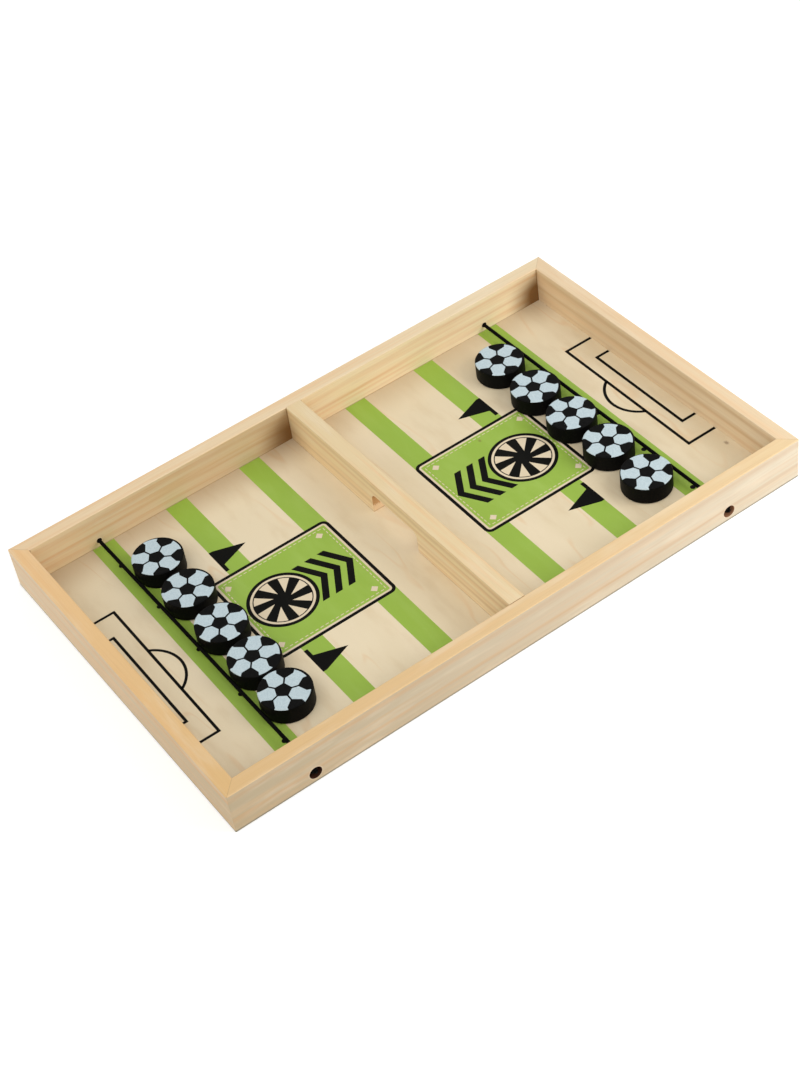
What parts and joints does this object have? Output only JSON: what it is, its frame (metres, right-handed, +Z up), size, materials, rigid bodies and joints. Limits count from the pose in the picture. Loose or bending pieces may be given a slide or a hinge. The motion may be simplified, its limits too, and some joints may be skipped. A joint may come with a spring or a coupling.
{
  "type": "sling puck tray game",
  "caption": "Wooden sling-puck tray game: framed pitch board, divider with a gate, an elastic at each end and loose round pucks.",
  "frame": {"origin": "middle of the underside of the tray", "axes": "+X along the tray's length, from the left player's end to the right player's end; +Y across it, from the near side rail to the far one; +Z up out of the tray"},
  "size_m": [0.35, 0.214, 0.026],
  "materials": {
    "pine": "bare sanded pine, pale with orange growth rings",
    "printed_plywood": "pale birch plywood with a green and black printed pitch",
    "elastic_cord": "black textile-covered elastic cord, matt",
    "puck_paint": "wood painted satin black, pale printed football panels on top"
  },
  "bodies": {
    "tray": {"near_side_rail": "pine", "far_side_rail": "pine", "left_end_rail": "pine", "right_end_rail": "pine", "play_board": "printed_plywood", "centre_divider": "pine", "left_elastic_near_knot": "elastic_cord", "left_elastic_far_knot": "elastic_cord", "right_elastic_near_knot": "elastic_cord", "right_elastic_far_knot": "elastic_cord"},
    "left_elastic": {"left_elastic": "elastic_cord"},
    "right_elastic": {"right_elastic": "elastic_cord"},
    "left_puck_1": {"left_puck_1": "puck_paint"},
    "left_puck_2": {"left_puck_2": "puck_paint"},
    "left_puck_3": {"left_puck_3": "puck_paint"},
    "left_puck_4": {"left_puck_4": "puck_paint"},
    "left_puck_5": {"left_puck_5": "puck_paint"},
    "right_puck_1": {"right_puck_1": "puck_paint"},
    "right_puck_2": {"right_puck_2": "puck_paint"},
    "right_puck_3": {"right_puck_3": "puck_paint"},
    "right_puck_4": {"right_puck_4": "puck_paint"},
    "right_puck_5": {"right_puck_5": "puck_paint"}
  },
  "joints": [
    {"name": "left_elastic_draw", "type": "slide", "parent": "tray", "child": "left_elastic", "axis": [-1, 0, 0], "range_m": [0, 0.03], "stiffness_N_per_m": 120, "deforming": ["left_elastic"]},
    {"name": "left_puck_1_slide", "type": "slide", "parent": "tray", "child": "left_puck_1", "axis": [1, 0, 0], "range_m": [0, 0.0936]},
    {"name": "left_puck_2_slide", "type": "slide", "parent": "tray", "child": "left_puck_2", "axis": [1, 0, 0], "range_m": [0, 0.0936]},
    {"name": "left_puck_3_slide", "type": "slide", "parent": "left_elastic", "child": "left_puck_3", "axis": [1, 0, 0], "range_m": [0, 0.1971]},
    {"name": "left_puck_4_slide", "type": "slide", "parent": "tray", "child": "left_puck_4", "axis": [1, 0, 0], "range_m": [0, 0.0936]},
    {"name": "left_puck_5_slide", "type": "slide", "parent": "tray", "child": "left_puck_5", "axis": [1, 0, 0], "range_m": [0, 0.0936]},
    {"name": "right_elastic_draw", "type": "slide", "parent": "tray", "child": "right_elastic", "axis": [1, 0, 0], "range_m": [0, 0.03], "stiffness_N_per_m": 120, "deforming": ["right_elastic"]},
    {"name": "right_puck_1_slide", "type": "slide", "parent": "tray", "child": "right_puck_1", "axis": [-1, 0, 0], "range_m": [0, 0.0932]},
    {"name": "right_puck_2_slide", "type": "slide", "parent": "tray", "child": "right_puck_2", "axis": [-1, 0, 0], "range_m": [0, 0.0936]},
    {"name": "right_puck_3_slide", "type": "slide", "parent": "right_elastic", "child": "right_puck_3", "axis": [-1, 0, 0], "range_m": [0, 0.1971]},
    {"name": "right_puck_4_slide", "type": "slide", "parent": "tray", "child": "right_puck_4", "axis": [-1, 0, 0], "range_m": [0, 0.0946]},
    {"name": "right_puck_5_slide", "type": "slide", "parent": "tray", "child": "right_puck_5", "axis": [-1, 0, 0], "range_m": [0, 0.0934]}
  ]
}
